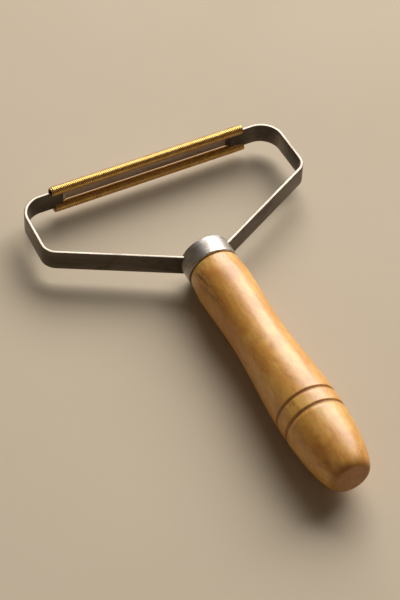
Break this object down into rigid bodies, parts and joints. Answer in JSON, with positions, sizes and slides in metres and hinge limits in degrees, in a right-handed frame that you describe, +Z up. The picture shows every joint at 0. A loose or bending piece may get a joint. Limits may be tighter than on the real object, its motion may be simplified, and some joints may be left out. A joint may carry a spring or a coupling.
{
  "type": "hand lint scraper",
  "caption": "Hand scraper for fabric pills: a wooden handle with a steel ferrule and a bent steel strip loop whose front bar carries brass wire coils.",
  "frame": {"origin": "centre of the flat disc at the handle's butt end", "axes": "+Y along the handle's axis from the butt towards the front bar, +X to the right along the bar, +Z up along the height of the strip"},
  "size_m": [0.1262, 0.1911, 0.028],
  "materials": {
    "handle_wood": "oiled and waxed beech",
    "brushed_steel": "turned and brushed round its axis",
    "zinc_steel": "bright zinc plate",
    "strip_steel": "brushed along the strip",
    "brass_wire": "bright drawn wire",
    "weld_metal": "as welded, lightly ground"
  },
  "bodies": {
    "root": {"handle": "handle_wood", "ferrule": "brushed_steel", "handle_screw": "zinc_steel", "screw_washer": "zinc_steel", "frame_strip": "strip_steel", "backing_plate": "strip_steel", "upper_coil": "brass_wire", "lower_coil": "brass_wire", "arm_weld_left": "weld_metal", "arm_weld_right": "weld_metal", "plate_weld_left": "weld_metal", "plate_weld_right": "weld_metal"}
  },
  "joints": []
}
